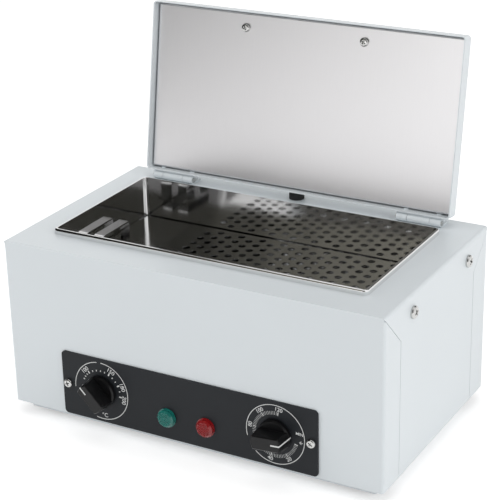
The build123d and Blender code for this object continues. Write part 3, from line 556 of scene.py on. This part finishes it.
def cross_screw(head, height, shank, length):
    """Pan head screw with a cross recess: the head above z = 0, the shank below."""
    rest_hands()
    middle = (0, 0, height / 2)
    bpy.ops.mesh.primitive_cylinder_add(vertices=32, radius=head / 2, depth=height, location=middle)
    screw = bpy.context.object
    bpy.ops.object.transform_apply(location=True)
    edit(screw)
    pick("EDGE", lambda a, b: a.z > height * 0.99 and b.z > height * 0.99)
    bpy.ops.mesh.bevel(offset=height * 0.62, segments=5, profile=0.5, affect="EDGES")
    pick("FACE", lambda c, n: n.z < -0.9)
    bpy.ops.mesh.inset(thickness=(head - shank) / 2)
    bpy.ops.mesh.extrude_region_move(TRANSFORM_OT_translate={"value": (0, 0, -length)})
    rest_hands()
    span = head * sizes().recess_share
    arm = head * 0.15
    bpy.ops.mesh.primitive_grid_add(x_subdivisions=3, y_subdivisions=3, size=span, location=(0, 0, 0))
    cross = bpy.context.object
    edit(cross)
    third = span / 6
    pick("VERT", lambda p: abs(abs(p.x) - third) < third / 2)
    bpy.ops.transform.resize(value=(arm / 2 / third, 1, 1), center_override=(0, 0, 0))
    pick("VERT", lambda p: abs(abs(p.y) - third) < third / 2)
    bpy.ops.transform.resize(value=(1, arm / 2 / third, 1), center_override=(0, 0, 0))
    pick("FACE", lambda c, n: abs(c.x) > arm / 2 and abs(c.y) > arm / 2)
    bpy.ops.mesh.delete(type="FACE")
    bpy.ops.mesh.select_all(action="SELECT")
    bpy.ops.transform.translate(value=(0, 0, height * 1.4))
    bpy.ops.mesh.extrude_region_move(TRANSFORM_OT_translate={"value": (0, 0, -height * 1.15)})
    pick("FACE", lambda c, n: c.z < height * 0.4)
    bpy.ops.transform.resize(value=(0.55, 0.55, 1), center_override=(0, 0, height * 0.25))
    bpy.ops.mesh.select_all(action="SELECT")
    bpy.ops.mesh.fill_holes(sides=0)
    bpy.ops.mesh.normals_make_consistent(inside=False)
    rest_hands()
    trim(screw, cross)
    return screw


def screw_set(name, node, body, spots, head, height, shank, length):
    """Like screws, each turned by its own angle, in place of one CAD node."""
    one = cross_screw(head, height, shank, length)
    placed = []
    for i, matrix in enumerate(spots):
        spin = Matrix.Rotation(math.radians((37 * i + 20) % 90), 4, "Z")
        placed.append(twin(one, matrix @ spin))
    bpy.data.objects.remove(one)
    bolt = kept("zinc_plate", plated_steel, (0.58, 0.58, 0.57))
    finished(gather(placed, name), name, body, bolt, [node], 30.0)


def lid_turn():
    """Matrix from the closed lid to the open one."""
    hinge = next(j for j in frame["joints"] if j["name"] == "lid_hinge")
    at = Vector(hinge["pos_m"])
    turn = Matrix.Rotation(-math.radians(hinge["range_deg"][1]), 4, "X")
    return Matrix.Translation(at) @ turn @ Matrix.Translation(-at)


class STERILIZER_OT_screws(bpy.types.Operator):
    """Model the cross-recess screws of the casing, plate, lid, base and feet"""

    bl_idname = "sterilizer.screws"
    bl_label = "Screws"

    def execute(self, context):
        out = {1: Matrix.Rotation(math.radians(90), 4, "Y"), -1: Matrix.Rotation(math.radians(-90), 4, "Y")}
        down = Matrix.Rotation(math.radians(180), 4, "X")
        front = Matrix.Rotation(math.radians(90), 4, "X")
        side = []
        for s in (1, -1):
            side += [Matrix.Translation(spot(s * 172.5, v, 143.4)) @ out[s] for v in (50.7, 160.6)]
        screw_set("side_screw_set", "side_screws", "cabinet", side, 0.0106, 0.003, 0.005, 0.009)
        plate = [Matrix.Translation(spot(x, PLATE_FRONT, 41.2)) @ front for x in (-114.6, 112.2)]
        screw_set("plate_screw_set", "control_plate_screws", "cabinet", plate, 0.0078, 0.0026, 0.004, 0.0074)
        turn = lid_turn()
        lid = [turn @ Matrix.Translation(spot(x, 43.0, 165.7)) @ down for x in (-56.1, 56.1)]
        screw_set("lid_screw_set", "lid_screws", "lid", lid, 0.0078, 0.0026, 0.004, 0.016)
        base = []
        for s in (-1, 1):
            base += [(s * 156.65, 48.6), (s * 156.65, 154.6), (s * 90.0, 14.6), (s * 90.0, 188.6)]
        base = [Matrix.Translation(spot(x, v, 9.8)) @ down for x, v in base]
        screw_set("base_screw_set", "base_screws", "cabinet", base, 0.0078, 0.0026, 0.004, 0.007)
        feet = [(s * 143.9, v) for s in (-1, 1) for v in (21.5, 181.7)]
        feet = [Matrix.Translation(spot(x, v, 5.2)) @ down for x, v in feet]
        screw_set("foot_screw_set", "foot_screws", "cabinet", feet, 0.0078, 0.0026, 0.004, 0.014)
        return {"FINISHED"}


def arc_band(start, end, radius, width):
    """Flat band along an arc in the XY plane, angles in degrees against the clock."""
    rest_hands()
    bpy.ops.mesh.primitive_circle_add(vertices=240, radius=radius, fill_type="NOTHING")
    band = bpy.context.object
    if end - start < 360:
        edit(band)

        def outside(a, b):
            middle = math.degrees(math.atan2((a.y + b.y) / 2, (a.x + b.x) / 2))
            return not any(start <= middle + 360 * k <= end for k in (-1, 0, 1))

        pick("EDGE", outside)
        bpy.ops.mesh.delete(type="EDGE")
        rest_hands()
    edit(band)
    bpy.ops.mesh.select_mode(type="EDGE")
    bpy.ops.mesh.select_all(action="SELECT")
    bpy.ops.mesh.extrude_edges_move()
    share = (radius - width) / radius
    bpy.ops.transform.resize(value=(share, share, 1), center_override=(0, 0, 0))
    rest_hands()
    return band


def line(start, end, width):
    """Flat line between two points in the XY plane."""
    rest_hands()
    run = Vector(end) - Vector(start)
    bpy.ops.mesh.primitive_plane_add(size=1.0)
    strip = bpy.context.object
    turn = Matrix.Rotation(math.atan2(run.y, run.x), 4, "Z")
    middle = (Vector(start) + Vector(end)) / 2
    grow = Matrix.Diagonal((run.length, width, 1, 1))
    strip.data.transform(Matrix.Translation(middle.to_3d()) @ turn @ grow)
    return strip


def polar(radius, angle):
    a = math.radians(angle)
    return Vector((radius * math.cos(a), radius * math.sin(a)))


def lettering(text, radius, angle, turn, height):
    """Numerals or a unit made a flat mesh, turned about their middle."""
    rest_hands()
    bpy.ops.object.text_add()
    word = bpy.context.object
    word.data.body = text
    word.data.size = height
    word.data.align_x = "CENTER"
    word.data.align_y = "CENTER"
    word.data.offset = height * 0.012
    bpy.ops.object.convert(target="MESH")
    word = bpy.context.object
    at = polar(radius, angle)
    word.data.transform(Matrix.Translation((at.x, at.y, 0)) @ Matrix.Rotation(math.radians(turn), 4, "Z"))
    return word


def printed(pieces, name, centre_x):
    """Flat pieces as raised ink on the control plate."""
    sheet = gather(pieces, name)
    take(sheet)
    edit(sheet)
    bpy.ops.mesh.select_all(action="SELECT")
    bpy.ops.mesh.remove_doubles(threshold=0.000005)
    bpy.ops.mesh.normals_make_consistent(inside=False)
    rest_hands()
    ink = sheet.modifiers.new("ink", "SOLIDIFY")
    ink.thickness = sizes().print_height
    ink.offset = 0.0
    take(sheet)
    bpy.ops.object.modifier_apply(modifier=ink.name)
    upright = Matrix.Rotation(math.radians(90), 4, "X")
    sheet.data.transform(Matrix.Translation(spot(centre_x, PLATE_FRONT, KNOB_Z)) @ upright)
    white = kept("dial_ink", screen_print, tuple(colours().ink))
    finished(sheet, name, "cabinet", white, (), 0)


class STERILIZER_OT_dials(bpy.types.Operator):
    """Print the temperature and timer scales on the control plate"""

    bl_idname = "sterilizer.dials"
    bl_label = "Dials"

    def execute(self, context):
        s = sizes()
        r, w, h = s.ring_radius, s.print_width, s.numeral_height
        left = [arc_band(-103, 88, r, w), arc_band(97, 183, r, w)]
        for a in (176, 155, 146, 137, 115.2, 102.4, 89.6, 76.8, 51.3, 38.7, 10.5):
            left.append(line(polar(0.0176, a), polar(0.0190, a), w * 1.3))
        for a in (128, 64, 26, -5):
            left.append(line(polar(0.0174, a), polar(0.0200, a), w * 1.9))
        for text, a, turn in (("100", 134, 44), ("150", 63, -27), ("180", 21, -69), ("200", -10, -100)):
            left.append(lettering(text, 0.0221, a, turn, h))
        left.append(lettering("°C", 0.0222, -84, 4, h))
        printed(left, "thermostat_scale", THERMOSTAT_X)
        right = [arc_band(-134, 195, r, w)]
        step = 44.0 / 20.0
        for i in range(0, 121, 2):
            a = -14 - step * i
            bold = i % 20 == 0
            right.append(line(polar(0.0173, a), polar(0.0203, a), w * (1.2 if bold else 0.5)))
        for text, a, turn in (("20", -58, 32), ("40", -102, -12), ("60", -146, -56), ("80", 170, 80),
                              ("100", 127, 37), ("120", 82, -8)):
            right.append(lettering(text, 0.0225, a, turn, h * 0.92))
        right.append(lettering("MIN", 0.0219, 14, -4, h * 0.7))
        for bend in (-1, 1):
            right.append(line((0.0212, -0.0020), (0.0229, -0.0020 + bend * 0.0013), w * 0.8))
        right.append(line((0.0212, -0.0020), (0.0243, -0.0020), w * 0.8))
        printed(right, "timer_scale", TIMER_X)
        return {"FINISHED"}


def pointer(name, body, centre_x, angle):
    """White line let into a knob's grip, along its front and down its end."""
    rest_hands()
    near, far, back, face = 5.2 * MM, 12.82 * MM, 19.12 * MM, 19.46 * MM
    width = 1.24 * MM
    mid = ((near + far) / 2, 0, (back + face) / 2)
    bpy.ops.mesh.primitive_cube_add(size=1.0, location=mid)
    bar = bpy.context.object
    bar.scale = (far - near, width, face - back)
    bpy.ops.object.transform_apply(location=True, rotation=True, scale=True)
    edit(bar)
    bpy.ops.mesh.select_all(action="SELECT")
    bpy.ops.mesh.bisect(plane_co=(far - 0.36 * MM, 0, 0), plane_no=(1, 0, 0))
    pick("FACE", lambda c, n: n.z < -0.9 and c.x > far - 0.36 * MM)
    bpy.ops.mesh.extrude_region_move(TRANSFORM_OT_translate={"value": (0.92 * MM, 0, 6.0 * MM - back)})
    bpy.ops.mesh.extrude_region_move(TRANSFORM_OT_translate={"value": (0.17 * MM, 0, -0.3 * MM)})
    bpy.ops.mesh.extrude_region_move(TRANSFORM_OT_translate={"value": (0, 0, -3.6 * MM)})
    bpy.ops.mesh.select_all(action="SELECT")
    bpy.ops.mesh.normals_make_consistent(inside=False)
    rest_hands()
    turn = Matrix.Rotation(math.radians(90), 4, "X") @ Matrix.Rotation(math.radians(angle), 4, "Z")
    bar.data.transform(Matrix.Translation(spot(centre_x, 0, KNOB_Z)) @ turn)
    white = kept("dial_ink", screen_print, tuple(colours().ink))
    finished(bar, name, body, white, (), 0)


class STERILIZER_OT_pointers(bpy.types.Operator):
    """Let the white pointer lines into the knobs"""

    bl_idname = "sterilizer.pointers"
    bl_label = "Pointers"

    def execute(self, context):
        pointer("thermostat_pointer", "thermostat_dial", THERMOSTAT_X, THERMOSTAT_ANGLE)
        pointer("timer_pointer", "timer_dial", TIMER_X, TIMER_ANGLE)
        return {"FINISHED"}


def facets(name, centre_x, material):
    """Field of small pyramids on a lamp's lens."""
    s = sizes()
    rest_hands()
    cells = 10
    bpy.ops.mesh.primitive_grid_add(x_subdivisions=cells, y_subdivisions=cells, size=cells * s.facet_pitch)
    field = bpy.context.object
    edit(field)
    pick("FACE", lambda c, n: c.length > 0.0058)
    bpy.ops.mesh.delete(type="FACE")
    bpy.ops.mesh.select_all(action="SELECT")
    bpy.ops.mesh.extrude_region_move(TRANSFORM_OT_translate={"value": (0, 0, 0.0006)})
    pick("FACE", lambda c, n: c.z > 0.0005 and abs(n.z) > 0.9)
    bpy.ops.mesh.poke(offset=0.00042)
    bpy.ops.mesh.select_all(action="SELECT")
    bpy.ops.mesh.fill_holes(sides=0)
    bpy.ops.mesh.normals_make_consistent(inside=False)
    rest_hands()
    turn = Matrix.Rotation(math.radians(90), 4, "X") @ Matrix.Rotation(math.radians(45), 4, "Z")
    field.data.transform(Matrix.Translation(spot(centre_x, PLATE_FRONT - 4.1, LAMP_Z)) @ turn)
    finished(field, name, "cabinet", material, (), 0)


class STERILIZER_OT_lamps(bpy.types.Operator):
    """Cut the facets of the green and red lamp lenses"""

    bl_idname = "sterilizer.lamps"
    bl_label = "Lamps"

    def execute(self, context):
        c = colours()
        facets("green_lamp_facets", GREEN_X, kept("green_lens", tinted_lens, tuple(c.green)))
        facets("red_lamp_facets", RED_X, kept("red_lens", tinted_lens, tuple(c.red)))
        return {"FINISHED"}


# Stage


def soft_light(name, place, aim, size, power, colour=(1.0, 1.0, 1.0)):
    """Large soft lamp turned towards a point."""
    rest_hands()
    bpy.ops.object.light_add(type="AREA", location=place)
    lamp = bpy.context.object
    lamp.name = name
    lamp.data.shape = "RECTANGLE"
    lamp.data.size, lamp.data.size_y = size
    lamp.data.energy = power
    lamp.data.color = colour
    lamp.rotation_euler = (Vector(aim) - Vector(place)).to_track_quat("-Z", "Y").to_euler()
    return lamp


def dark_cove(name, low, high, start, end):
    """Dark curved cloth in front of the set, between two heights and two directions in degrees.

    Only polished metal shows it. Direction 0 is the front, and directions grow to the right. A painted glow,
    as of light falling on its folds, is brightest left of the middle and dim to the right.
    """
    rest_hands()
    bpy.ops.mesh.primitive_uv_sphere_add(segments=96, ring_count=60, radius=3.2, location=(0, 0, 0))
    cloth = bpy.context.object
    edit(cloth)

    def outside(centre, normal):
        rise = math.degrees(math.asin(max(-1.0, min(1.0, centre.z / centre.length))))
        way = math.degrees(math.atan2(centre.x, -centre.y))
        return not (low <= rise <= high and any(start <= way + turn <= end for turn in (0, 360)))

    pick("FACE", outside)
    bpy.ops.mesh.delete(type="FACE")
    bpy.ops.mesh.select_all(action="SELECT")
    bpy.ops.mesh.flip_normals()
    rest_hands()
    bpy.ops.object.shade_smooth()
    cloth.name = name
    f = Finish(name + "_cloth", (0.012, 0.012, 0.011), 1.0, specular_ior_level=0.0)
    across = f.add("ShaderNodeSeparateXYZ", {}, [f.place()], "X")
    painted_fold_glow = f.grain(1.6, 3.0)
    rise = f.add("ShaderNodeMapRange", {"interpolation_type": "SMOOTHSTEP"}, [across, -1.75, -1.0, 0.0, 1.0])
    fall = f.add("ShaderNodeMapRange", {"interpolation_type": "SMOOTHSTEP"}, [across, -0.8, -0.1, 1.0, 0.15])
    # Painted light: the emission paints a glow, as of light on the cloth's folds, brightest left of the
    # middle; only reflections show it.
    lit = rise * fall * (0.35 + 0.9 * painted_fold_glow)
    f.feed("Emission Color", f.blend((0.006, 0.006, 0.005), (0.24, 0.23, 0.195), lit))
    f.shader.inputs["Emission Strength"].default_value = 1.0
    cloth.data.materials.append(f.material)
    cloth.visible_camera = False
    cloth.visible_diffuse = False
    cloth.visible_shadow = False
    cloth.visible_transmission = False
    return cloth


class STERILIZER_OT_stage(bpy.types.Operator):
    """Set the pale floor, the soft lamps, the dark cards and the camera"""

    bl_idname = "sterilizer.stage"
    bl_label = "Stage"

    def execute(self, context):
        scene = context.scene
        scene.view_settings.view_transform = "Standard"
        rest_hands()
        bpy.ops.mesh.primitive_plane_add(size=9.0, location=(0, 0, 0))
        floor = bpy.context.object
        floor.name = "floor"
        f = Finish("pale_floor", (0.9, 0.9, 0.9), 0.9)
        tree = f.tree
        path = tree.nodes.new("ShaderNodeLightPath")
        glow = tree.nodes.new("ShaderNodeEmission")
        add = tree.nodes.new("ShaderNodeAddShader")
        glow.inputs["Color"].default_value = (1, 1, 1, 1)
        seen = f.add("ShaderNodeMath", {"operation": "MAXIMUM"},
                     [Value(f, path.outputs["Is Camera Ray"]), Value(f, path.outputs["Is Glossy Ray"])])
        strength = 0.42 * seen
        tree.links.new(strength.socket, glow.inputs["Strength"])
        end = next(n for n in tree.nodes if n.type == "OUTPUT_MATERIAL")
        tree.links.new(f.shader.outputs[0], add.inputs[0])
        tree.links.new(glow.outputs[0], add.inputs[1])
        tree.links.new(add.outputs[0], end.inputs["Surface"])
        floor.data.materials.append(f.material)
        world = bpy.data.worlds.new("studio")
        scene.world = world
        world.use_nodes = True
        tree = world.node_tree
        back = next(n for n in tree.nodes if n.type == "BACKGROUND")
        path = tree.nodes.new("ShaderNodeLightPath")
        either = tree.nodes.new("ShaderNodeMath")
        either.operation = "MAXIMUM"
        more = tree.nodes.new("ShaderNodeMath")
        more.operation = "MAXIMUM"
        level = tree.nodes.new("ShaderNodeMath")
        level.operation = "MULTIPLY_ADD"
        tree.links.new(path.outputs["Is Camera Ray"], either.inputs[0])
        tree.links.new(path.outputs["Is Glossy Ray"], either.inputs[1])
        tree.links.new(either.outputs[0], more.inputs[0])
        tree.links.new(path.outputs["Is Transmission Ray"], more.inputs[1])
        tree.links.new(more.outputs[0], level.inputs[0])
        level.inputs[1].default_value = 0.42
        level.inputs[2].default_value = 0.60
        tree.links.new(level.outputs[0], back.inputs["Strength"])
        back.inputs["Color"].default_value = (1, 1, 1, 1)
        aim = (0.0, 0.0, 0.1)
        key = soft_light("key_lamp", (-1.9, -1.1, 1.0), aim, (1.4, 1.4), 12.0)
        key.visible_glossy = False
        soft_light("front_lamp", (-0.5, -2.6, 0.62), aim, (0.9, 0.8), 2.2)
        side = soft_light("side_lamp", (2.0, -0.5, 0.9), aim, (1.2, 1.2), 11.5)
        side.visible_glossy = False
        top = soft_light("top_lamp", (0.1, 0.1, 2.0), aim, (1.5, 1.5), 6.0)
        top.visible_glossy = False
        dark_cove("dark_cove", 11.0, 64.0, -125.0, 44.0)
        dark_cove("low_cove", 0.0, 11.0, -125.0, -32.0)
        dark_cove("back_cove", 27.0, 66.0, 140.0, 215.0)
        rest_hands()
        bpy.ops.object.camera_add()
        camera = bpy.context.object
        camera.name = "camera"
        az, el, roll = (math.radians(v) for v in (29.65636586, 22.52822467, -1.34605691))
        back_axis = Vector((math.sin(az) * math.cos(el), -math.cos(az) * math.cos(el), math.sin(el)))
        right = Vector((math.cos(az), math.sin(az), 0.0))
        up = back_axis.cross(right)
        side = right * math.cos(roll) + up * math.sin(roll)
        top = up * math.cos(roll) - right * math.sin(roll)
        place = spot(611.06133832, -1075.52623781 + 101.6, 645.58133899 + 11.0)
        turn = Matrix((side, top, back_axis)).transposed().to_4x4()
        camera.matrix_world = Matrix.Translation(place) @ turn
        camera.data.lens = 1614.9009773 * 36.0 / 500.0
        camera.data.sensor_width = 36.0
        camera.data.clip_end = 50.0
        scene.camera = camera
        return {"FINISHED"}


STEPS = (STERILIZER_OT_finishes, STERILIZER_OT_tray, STERILIZER_OT_screws, STERILIZER_OT_dials,
         STERILIZER_OT_pointers, STERILIZER_OT_lamps, STERILIZER_OT_stage)


class STERILIZER_PT_panel(bpy.types.Panel):
    """Sidebar panel with the sizes, the colours and the steps"""

    bl_idname = "STERILIZER_PT_panel"
    bl_label = "Dry heat sterilizer"
    bl_space_type = "VIEW_3D"
    bl_region_type = "UI"
    bl_category = "Sterilizer"

    def draw(self, context):
        layout = self.layout
        for group in (context.scene.sterilizer_sizes, context.scene.sterilizer_colours):
            for key in group.__annotations__:
                layout.prop(group, key)
        for step in STEPS:
            layout.operator(step.bl_idname)


CLASSES = (SterilizerSizes, SterilizerColours, *STEPS, STERILIZER_PT_panel)


def register():
    for item in CLASSES:
        bpy.utils.register_class(item)
    bpy.types.Scene.sterilizer_sizes = bpy.props.PointerProperty(type=SterilizerSizes)
    bpy.types.Scene.sterilizer_colours = bpy.props.PointerProperty(type=SterilizerColours)


def unregister():
    del bpy.types.Scene.sterilizer_colours
    del bpy.types.Scene.sterilizer_sizes
    for item in reversed(CLASSES):
        bpy.utils.unregister_class(item)


def main():
    register()
    rest_hands()
    for step in STEPS:
        group, name = step.bl_idname.split(".")
        getattr(getattr(bpy.ops, group), name)()
    rest_hands()


if __name__ == "__main__":
    main()
